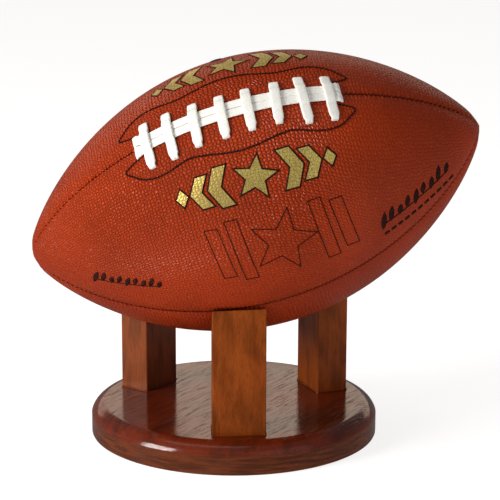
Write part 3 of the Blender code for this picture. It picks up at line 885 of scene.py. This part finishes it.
def add_crossbar(shape, skin, sizes, bar):
    place, upper, lower, lean = (part * MM for part in bar)
    path = bar_path(upper, lower, sizes)
    points, across = [], []
    for offset, height in path:
        along = place + lean * ((upper - offset) / (upper - lower) - 0.5)
        turn = skin.turn_of(along, offset)
        points.append(skin.place @ skin.at(along, turn, height))
        ahead = skin.at(along + MM, turn) - skin.at(along - MM, turn)
        across.append(skin.place.to_3x3() @ ahead.normalized())
    spine = []
    for frame_here, (offset, _) in zip(spine_frames(points, across), path):
        room = min(upper - offset, offset - lower)
        narrow = 0.10 if offset > 0 else 0.26
        width = sizes.bar_width * (1 - narrow * (1 - smoothstep(0.6 * MM, 3.2 * MM, room)))
        spine.append((frame_here, width, sizes.bar_thickness))
    sweep(shape, spine)


def add_strand(shape, skin, sizes, side):
    """One of the two lengthwise laces, which dives in at both ends."""
    start, end = STRAND_ENDS
    rest = BAR_CLEAR + sizes.strand_thickness / 2
    points, across, widths = [], [], []
    for step in range(STRAND_STEPS + 1):
        along = start + (end - start) * step / STRAND_STEPS
        room = min(along - start, end - along)
        flare = 1 - smoothstep(2.2 * MM, 6.0 * MM, room)
        low = 1 if along < 0 else 0.5
        width = sizes.strand_width * (1 + (0.12 + 0.24 * low) * flare)
        gap = STRAND_GAP * (1 - smoothstep(8 * MM, 26 * MM, along))
        offset = side * (gap + width / 2) - 0.35 * MM
        height = rest + 0.7 * MM * flare
        if room < 1.8 * MM:
            height -= 3.4 * MM * (1 - math.sqrt(1 - (1 - room / (1.8 * MM)) ** 2))
        turn = skin.turn_of(along, offset)
        points.append(skin.place @ skin.at(along, turn, height))
        sideways = skin.at(along, turn + 0.01) - skin.at(along, turn - 0.01)
        across.append(skin.place.to_3x3() @ sideways.normalized())
        widths.append((width, sizes.strand_thickness * (1 + 0.7 * flare)))
    spine = [(place, *size) for place, size in zip(spine_frames(points, across), widths)]
    sweep(shape, spine)


class FOOTBALL_OT_lace(Operator):
    """Lays the two lengthwise laces and the eight crossbars over them"""
    bl_idname = "football.lace"
    bl_label = "Lace"

    def execute(self, context):
        skin = current_skin(context)
        sizes = context.scene.football_lace
        material = lace_finish(context.scene.football_colours)
        strands = bmesh.new()
        for side in (-1, 1):
            add_strand(strands, skin, sizes, side)
        bars = bmesh.new()
        for bar in BARS:
            add_crossbar(bars, skin, sizes, bar)
        parts = (("lace_strands", strands, sizes.strand_width),
                 ("lace_crossbars", bars, sizes.bar_width))
        for name, shape, width in parts:
            lay_weave(shape, width)
            bmesh.ops.recalc_face_normals(shape, faces=shape.faces)
            item = add_piece(name, shape, [material], BALL_BODY, 60.0)
            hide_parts("lace")
        # Painted shadow: dark ink ovals laid on the leather where each crossbar dives into its
        # hole
        holes = bmesh.new()
        for along, upper, lower, _ in BARS:
            for spot in (upper + 0.2, lower - 0.5):
                place = skin.frame_at(along * MM, spot * MM, 0.05 * MM)
                add_stitch(holes, place, *HOLE_SHADOW)
        ink = ink_finish(context.scene.football_colours)
        add_piece("lace_holes", holes, [ink], BALL_BODY)
        return {"FINISHED"}


# --- Emblem and ornaments -------------------------------------------------------------
def star(shape, x, y, size, spin=0.0):
    """A five-pointed star, its points at a given radius."""
    place = Matrix.Translation((x, y, 0.0)) @ Matrix.Rotation(spin, 4, "Z")
    ring = bmesh.ops.create_circle(shape, cap_ends=True, segments=10, radius=size)
    for index, vert in enumerate(ring["verts"]):
        vert.co = place @ (vert.co * (1.0 if index % 2 else 0.44))


def outline_face(shape, points):
    return shape.faces.new([shape.verts.new((x, y, 0.0)) for x, y in points])


def chevron(shape, x, y, wide, high, arm):
    """A chevron that points along +X if its width is positive."""
    half = high / 2
    outline_face(shape, [
        (x, y - half), (x + arm, y - half), (x + wide, y), (x + arm, y + half),
        (x, y + half), (x + wide - arm, y)])


def diamond(shape, x, y, wide, high):
    outline_face(shape, [(x - wide / 2, y), (x, y - high / 2), (x + wide / 2, y),
                         (x, y + high / 2)])


def slanted_bar(shape, x, y, wide, high, slant):
    half = high / 2
    outline_face(shape, [
        (x - wide / 2 - slant, y - half), (x + wide / 2 - slant, y - half),
        (x + wide / 2 + slant, y + half), (x - wide / 2 + slant, y + half)])


def leaf(shape, x, y, long, wide, lean):
    """A pointed leaf that leans from the upright."""
    ahead = Vector((math.sin(lean), math.cos(lean)))
    across = Vector((ahead.y, -ahead.x))
    right, left = [], []
    for share in (0.0, 0.12, 0.3, 0.5, 0.7, 0.88, 1.0):
        spot = Vector((x, y)) + ahead * long * (share - 0.5)
        half = across * wide * math.sin(math.pi * share) ** 0.8 / 2
        right.append(spot + half)
        left.append(spot - half)
    outline_face(shape, right + left[-2:0:-1])


def spray(shape, long, high, leaves):
    """A row of leaves on a thin stalk, tallest at its start."""
    step = long / leaves
    for index in range(leaves):
        x = (index + 0.5) * step - long / 2
        size = high * (1.0 if index == 0 else (0.62, 0.80, 0.56)[index % 3])
        leaf(shape, x, (index % 2 - 0.4) * 0.12 * high, size, 0.30 * high,
             math.radians(24))
    slanted_bar(shape, 0.0, -0.22 * high, long * 0.9, 0.07 * high, 0.0)


def border(shape, width, keep_inside):
    """Insets every face: slot 1 is the border, slot 0 what it holds."""
    bmesh.ops.recalc_face_normals(shape, faces=shape.faces)
    for face in shape.faces:
        if face.normal.z < 0:
            face.normal_flip()
    inside = list(shape.faces)
    rim = bmesh.ops.inset_individual(shape, faces=inside, thickness=width,
                                     use_even_offset=True)["faces"]
    for face in rim:
        face.material_index = 1
    if not keep_inside:
        bmesh.ops.delete(shape, geom=inside, context="FACES")


def drape(shape, skin, centre, spin=0.0, panel=0, cut=2.5 * MM, lift=0.06 * MM):
    """Cuts flat shapes finely and lays them on the leather about a place on it."""
    xs = [vert.co.x for vert in shape.verts]
    ys = [vert.co.y for vert in shape.verts]
    for axis, low, high in (((1, 0, 0), min(xs), max(xs)), ((0, 1, 0), min(ys), max(ys))):
        for step in range(1, int((high - low) / cut) + 1):
            spot = Vector(axis) * (low + step * cut)
            bmesh.ops.bisect_plane(
                shape, geom=[*shape.verts, *shape.edges, *shape.faces],
                plane_co=spot, plane_no=axis, dist=WELD)
    bmesh.ops.triangulate(shape, faces=shape.faces)
    along0, turn0 = centre
    first = skin.seam + (panel - 1) * QUARTER_TURN
    turn_matrix = Matrix.Rotation(spin, 4, "Z")
    shape.verts.index_update()
    pattern = []
    for vert in shape.verts:
        x, y, _ = turn_matrix @ vert.co
        along = along0 + x
        turn = skin.seam + turn0 + y / skin.radius(along)
        pattern.append(grain_place(skin, along, turn, first))
        vert.co = skin.laid(along, turn, lift)
    lay_grain(shape, pattern)
    face_outwards(shape, skin)


def emblem_shape():
    """A star between chevrons that shrink towards its ends."""
    shape = bmesh.new()
    star(shape, 0.0, 0.0, 15.0 * MM, math.radians(18))
    for side in (-1, 1):
        for start, wide, high, arm in ((13.5, 15.5, 25.0, 9.5), (25.5, 14.0, 20.0, 8.5)):
            chevron(shape, side * start * MM, 0.0, side * wide * MM, high * MM,
                    side * arm * MM)
        diamond(shape, side * 43.5 * MM, 0.0, 9.0 * MM, 13.0 * MM)
    return shape


class FOOTBALL_OT_emblem(Operator):
    """Stamps a gold emblem under the lacing and its twin over it"""
    bl_idname = "football.emblem"
    bl_label = "Gold emblems"

    def execute(self, context):
        skin = current_skin(context)
        colours = context.scene.football_colours
        finishes = [foil_finish(colours), ink_finish(colours)]
        for name, side, panel in (("front", -1, 0), ("top", 1, 1)):
            shape = emblem_shape()
            border(shape, 0.95 * MM, keep_inside=True)
            drape(shape, skin, (5.5 * MM, side * math.radians(31)), panel=panel)
            item = add_piece(f"emblem_{name}", shape, finishes, BALL_BODY)
            add_wall(item, 0.10 * MM, 1.0)
        return {"FINISHED"}


class FOOTBALL_OT_ornament(Operator):
    """Prints the thin outlined ornament and the small dark rows"""
    bl_idname = "football.ornament"
    bl_label = "Printed ornament"

    def execute(self, context):
        skin = current_skin(context)
        ink = ink_finish(context.scene.football_colours)
        large = bmesh.new()
        star(large, 0.0, 0.0, 21.0 * MM, math.radians(18))
        for side in (-1, 1):
            for spot, high in ((24.5, 39.0), (36.5, 32.0)):
                slanted_bar(large, side * spot * MM, 0.0, 8.0 * MM, high * MM, -2.5 * MM)
        border(large, 0.55 * MM, keep_inside=False)
        drape(large, skin, (10.5 * MM, math.radians(-59.5)), math.radians(-3))
        small_left = bmesh.new()
        spray(small_left, 41.0 * MM, 9.5 * MM, 9)
        drape(small_left, skin, (-84.0 * MM, math.radians(-67)), math.radians(-6))
        small_right = bmesh.new()
        spray(small_right, 50.0 * MM, 12.0 * MM, 9)
        for index in range(11):
            slanted_bar(small_right, (index - 5) * 4.6 * MM, -9.5 * MM, 3.2 * MM,
                        1.9 * MM, 0.0)
        drape(small_right, skin, (91.0 * MM, math.radians(-68)), math.radians(6))
        rows = (("ornament_outline", large), ("ornament_left", small_left),
                ("ornament_right", small_right))
        for name, shape in rows:
            item = add_piece(name, shape, [ink, ink], BALL_BODY)
            add_wall(item, 0.08 * MM, 1.0)
        return {"FINISHED"}


# --- Valve: (radius, height over the leather) in millimetres ----------------------------
VALVE_STEPS = 48
VALVE_PROFILE = (
    (0.7, -3.0), (0.7, 0.10), (1.1, 0.52), (1.9, 0.68), (2.3, 0.50), (2.6, 0.46),
    (3.0, 0.60), (3.5, 0.50), (3.9, 0.22), (4.1, -0.20), (4.1, -1.6), (2.8, -1.9),
    (2.8, -8.0), (0.7, -8.0),
)


class FOOTBALL_OT_valve(Operator):
    """Sets the rubber valve in the top panel"""
    bl_idname = "football.valve"
    bl_label = "Valve"

    def execute(self, context):
        skin = current_skin(context)
        profile = [(r * MM, h * MM) for r, h in VALVE_PROFILE]
        shape = turned(profile, VALVE_STEPS, closed=True)
        turn = skin.seam + math.radians(45)
        spot = Matrix.Translation(Vector((0.0, *around(skin.body, turn))))
        place = skin.place @ spot @ Matrix.Rotation(QUARTER_TURN - turn, 4, "X")
        bmesh.ops.transform(shape, matrix=place, verts=shape.verts)
        item = add_piece("valve_insert", shape, [rubber_finish("valve_rubber")], BALL_BODY)
        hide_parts("valve")
        return {"FINISHED"}


# --- Stand ----------------------------------------------------------------------------
RIM_STEPS = 22
FOOT_EASE = 0.6 * MM            # eased lower corner of the base
RECESS_RIM = 7.7 * MM           # wood left round the felt's recess
RECESS_DEPTH = 1.2 * MM


def base_profile(sizes, radius, floor, top):
    """From the top's centre over the rounded rim, past the crease, to the underside."""
    flat = radius - sizes.rim_radius * math.sin(sizes.rim_sweep)
    profile = [(0.0, top), (flat * 0.5, top), (flat - 0.4 * MM, top)]
    for step in range(RIM_STEPS + 1):
        swing = sizes.rim_sweep * step / RIM_STEPS
        profile.append((flat + sizes.rim_radius * math.sin(swing),
                        top - sizes.rim_radius * (1 - math.cos(swing))))
    return profile + [
        (radius, floor + FOOT_EASE),
        (radius - FOOT_EASE * 0.3, floor + FOOT_EASE * 0.3),
        (radius - FOOT_EASE, floor),
        (radius - RECESS_RIM, floor),
        (radius - RECESS_RIM, floor + RECESS_DEPTH),
        (0.0, floor + RECESS_DEPTH)]


class FOOTBALL_OT_base(Operator):
    """Turns the walnut base"""
    bl_idname = "football.base"
    bl_label = "Base"

    def execute(self, context):
        sizes = context.scene.football_stand
        low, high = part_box("base_disc")
        shape = turned(base_profile(sizes, (high.x - low.x) / 2, low.z, high.z),
                       sizes.base_steps)
        colours = context.scene.football_colours
        crease = high.z - sizes.rim_radius * (1 - math.cos(sizes.rim_sweep))
        # The side's colour below the crease holds a painted reflection of the floor
        wood = wood_finish("base_walnut", colours.base_wood,
                           (0.0, 0.0, math.radians(-58)), 0.0, 1.0, BASE_PORES,
                           side=(crease, colours.base_side_and_reflection))
        item = add_piece("base_turned", shape, [wood], STAND_BODY, 14.0)
        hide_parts("base_disc")
        return {"FINISHED"}


class FOOTBALL_OT_posts(Operator):
    """Finishes the posts, and runs a bead of lacquer round their feet"""
    bl_idname = "football.posts"
    bl_label = "Posts"

    def execute(self, context):
        shade = context.scene.football_colours.post_wood
        grains = {"post_front": (6, 90, 0.03), "post_left": (-4, 88, 0.25),
                  "post_right": (5, 91, 0.08)}
        for node, (lean, rise, satin) in grains.items():
            wood = wood_finish(f"{node}_walnut", shade,
                               (math.radians(lean), math.radians(rise), 0.0), satin, 0.15,
                               POST_PORES, math.radians(30))
            paint(node, wood)
            self.add_bead(node, wood)
        return {"FINISHED"}

    def add_bead(self, node, wood):
        """Lacquer that has gathered in the corner between a post and the base."""
        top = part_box("base_disc")[1].z
        foot = bmesh.new()
        foot.from_mesh(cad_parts[node].data)
        bmesh.ops.remove_doubles(foot, verts=foot.verts, dist=0.01 * MM)
        floor = min(vert.co.z for vert in foot.verts)
        above = [vert for vert in foot.verts if vert.co.z > floor + 1.0 * MM]
        bmesh.ops.delete(foot, geom=above, context="VERTS")
        bmesh.ops.convex_hull(foot, input=foot.verts)
        middle = sum((vert.co for vert in foot.verts), Vector()) / len(foot.verts)
        for vert in foot.verts:
            away = (vert.co - middle) * Vector((1, 1, 0))
            rise = BEAD_SIZE if vert.co.z > floor + 0.1 * MM else -BEAD_SIZE
            vert.co = vert.co + away.normalized() * BEAD_SIZE
            vert.co.z = top + rise
        bmesh.ops.bevel(foot, geom=foot.edges, offset=BEAD_SIZE * 0.5, segments=2,
                        affect="EDGES", profile=0.5, material=-1)
        add_piece(node.replace("post", "bead"), foot, [wood], STAND_BODY)


class FOOTBALL_OT_hidden(Operator):
    """Finishes the pieces that are mostly out of sight"""
    bl_idname = "football.hidden"
    bl_label = "Felt, screws, lining"

    def execute(self, context):
        paint("felt_pad", felt_finish())
        steel = steel_finish()
        for post in ("front", "left", "right"):
            for side in ("a", "b"):
                paint(f"screw_{post}_{side}", steel)
        canvas = canvas_finish()
        for node in LINING_NODES:
            paint(node, canvas)
        paint("lace_tongue", split_leather_finish())
        paint("bladder", rubber_finish("bladder_rubber"))
        return {"FINISHED"}


# --- Stage ----------------------------------------------------------------------------
KEY = ((-1.70, -0.90, 0.78), (0.0, 0.0, 0.12), (0.9, 0.8), 38.0, (1.0, 0.97, 0.93))
TOP = ((-0.3, 0.1, 1.7), (0.0, 0.0, 0.15), (1.2, 1.2), 3.5, (1.0, 0.96, 0.90))
FILL = ((1.5, -1.6, 0.9), (0.0, 0.0, 0.12), (1.8, 1.8), 3.0, (1.0, 0.92, 0.84))
CAMERA_PITCH = 0.240
CAMERA_ROLL = 0.004
CAMERA_DISTANCE = 1.2032
CAMERA_TARGET = (0.009714, 0.0, 0.114885)
CAMERA_LENS = 140.64            # mm, on a film 36 mm wide
CAMERA_FILM = 36.0
FLOOR_SIZE = 12.0
WALL_SPOT = (0.0, 5.0, 1.65)
WALL_SIZE = (4.0, 0.62)
SKY_STRENGTH = 0.16


def add_softbox(name, spot, target, size, power, shade):
    """A rectangular light that faces a target."""
    data = bpy.data.lights.new(name, "AREA")
    data.shape = "RECTANGLE"
    data.size, data.size_y = size
    data.energy = power
    data.color = shade
    item = bpy.data.objects.new(name, data)
    item.location = spot
    aim = (Vector(target) - Vector(spot)).to_track_quat("-Z", "Y")
    item.rotation_euler = aim.to_euler()
    bpy.context.scene.collection.objects.link(item)


def add_camera(scene):
    """A long lens, a little above the ball, square to its side."""
    target = Vector(CAMERA_TARGET)
    forward = Vector((0.0, math.cos(CAMERA_PITCH), -math.sin(CAMERA_PITCH)))
    right = forward.cross(Vector((0, 0, 1))).normalized()
    up = right.cross(forward)
    across = right * math.cos(CAMERA_ROLL) + up * math.sin(CAMERA_ROLL)
    upward = up * math.cos(CAMERA_ROLL) - right * math.sin(CAMERA_ROLL)
    data = bpy.data.cameras.new("camera")
    data.lens = CAMERA_LENS
    data.sensor_width = CAMERA_FILM
    data.clip_start = 0.05
    item = bpy.data.objects.new("camera", data)
    item.matrix_world = Matrix.Translation(target - forward * CAMERA_DISTANCE) @ Matrix(
        (across, upward, -forward)).transposed().to_4x4()
    scene.collection.objects.link(item)
    scene.camera = item


def add_paper(name, shape, shade, glow, strength):
    """A plain glowing sheet of the stage."""
    mesh = bpy.data.meshes.new(name)
    shape.to_mesh(mesh)
    shape.free()
    sheet = bpy.data.objects.new(name, mesh)
    paper = Finish(f"{name}_paper", shade, roughness=0.9)
    paper.shader.inputs["Emission Color"].default_value = (*glow, 1.0)
    paper.shader.inputs["Emission Strength"].default_value = strength
    mesh.materials.append(paper.material)
    bpy.context.scene.collection.objects.link(sheet)
    return sheet


class FOOTBALL_OT_stage(Operator):
    """Sets the pale floor, the soft lights and the camera"""
    bl_idname = "football.stage"
    bl_label = "Stage"

    def execute(self, context):
        scene = context.scene
        scene.view_settings.view_transform = "Standard"
        ground = bmesh.new()
        bmesh.ops.create_grid(ground, x_segments=2, y_segments=2, size=FLOOR_SIZE,
                              matrix=Matrix.Translation((0.0, 4.0, 0.0)))
        floor = add_paper("floor", ground, (0.50, 0.50, 0.50), (1.0, 1.0, 1.0), 0.82)
        floor.visible_glossy = False
        upright = bmesh.new()
        bmesh.ops.create_grid(upright, x_segments=2, y_segments=2, size=1.0)
        place = Matrix.Translation(WALL_SPOT) @ Matrix.Rotation(QUARTER_TURN, 4, "X")
        bmesh.ops.transform(upright, verts=upright.verts,
                            matrix=place @ Matrix.Diagonal((*WALL_SIZE, 1.0, 1.0)))
        wall = add_paper("backdrop", upright, (0.8, 0.8, 0.8), (1.0, 0.66, 0.42), 0.88)
        wall.visible_diffuse = False
        world = bpy.data.worlds.new("studio")
        scene.world = world
        world.use_nodes = True
        background = world.node_tree.nodes["Background"]
        background.inputs["Color"].default_value = (1.0, 0.98, 0.96, 1.0)
        background.inputs["Strength"].default_value = SKY_STRENGTH
        for name, light in (("key", KEY), ("top", TOP), ("fill", FILL)):
            add_softbox(name, *light)
        add_camera(scene)
        return {"FINISHED"}


# --- Sidebar --------------------------------------------------------------------------
STEPS = ("panels", "seams", "outline", "lace", "emblem", "ornament", "valve", "base",
         "posts", "hidden", "stage")


class FOOTBALL_PT_sidebar(Panel):
    """Lists the sizes and the steps"""
    bl_idname = "FOOTBALL_PT_sidebar"
    bl_label = "Football display stand"
    bl_space_type = "VIEW_3D"
    bl_region_type = "UI"
    bl_category = "Football"

    def draw(self, context):
        scene = context.scene
        groups = (scene.football_ball, scene.football_lace, scene.football_stand,
                  scene.football_colours)
        for group in groups:
            box = self.layout.box()
            for name in group.__annotations__:
                box.prop(group, name)
        for step in STEPS:
            self.layout.operator(f"football.{step}")


SETTINGS = {
    "football_ball": FootballBallSizes,
    "football_lace": FootballLaceSizes,
    "football_stand": FootballStandSizes,
    "football_colours": FootballColours,
}
CLASSES = (
    *SETTINGS.values(), FOOTBALL_OT_panels, FOOTBALL_OT_seams, FOOTBALL_OT_outline,
    FOOTBALL_OT_lace, FOOTBALL_OT_emblem, FOOTBALL_OT_ornament, FOOTBALL_OT_valve,
    FOOTBALL_OT_base, FOOTBALL_OT_posts, FOOTBALL_OT_hidden, FOOTBALL_OT_stage,
    FOOTBALL_PT_sidebar,
)


def register():
    for item in CLASSES:
        bpy.utils.register_class(item)
    for name, group in SETTINGS.items():
        setattr(bpy.types.Scene, name, PointerProperty(type=group))


def unregister():
    for name in SETTINGS:
        delattr(bpy.types.Scene, name)
    for item in reversed(CLASSES):
        bpy.utils.unregister_class(item)


def main():
    register()
    for step in STEPS:
        getattr(bpy.ops.football, step)()
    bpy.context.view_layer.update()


if __name__ == "__main__":
    main()
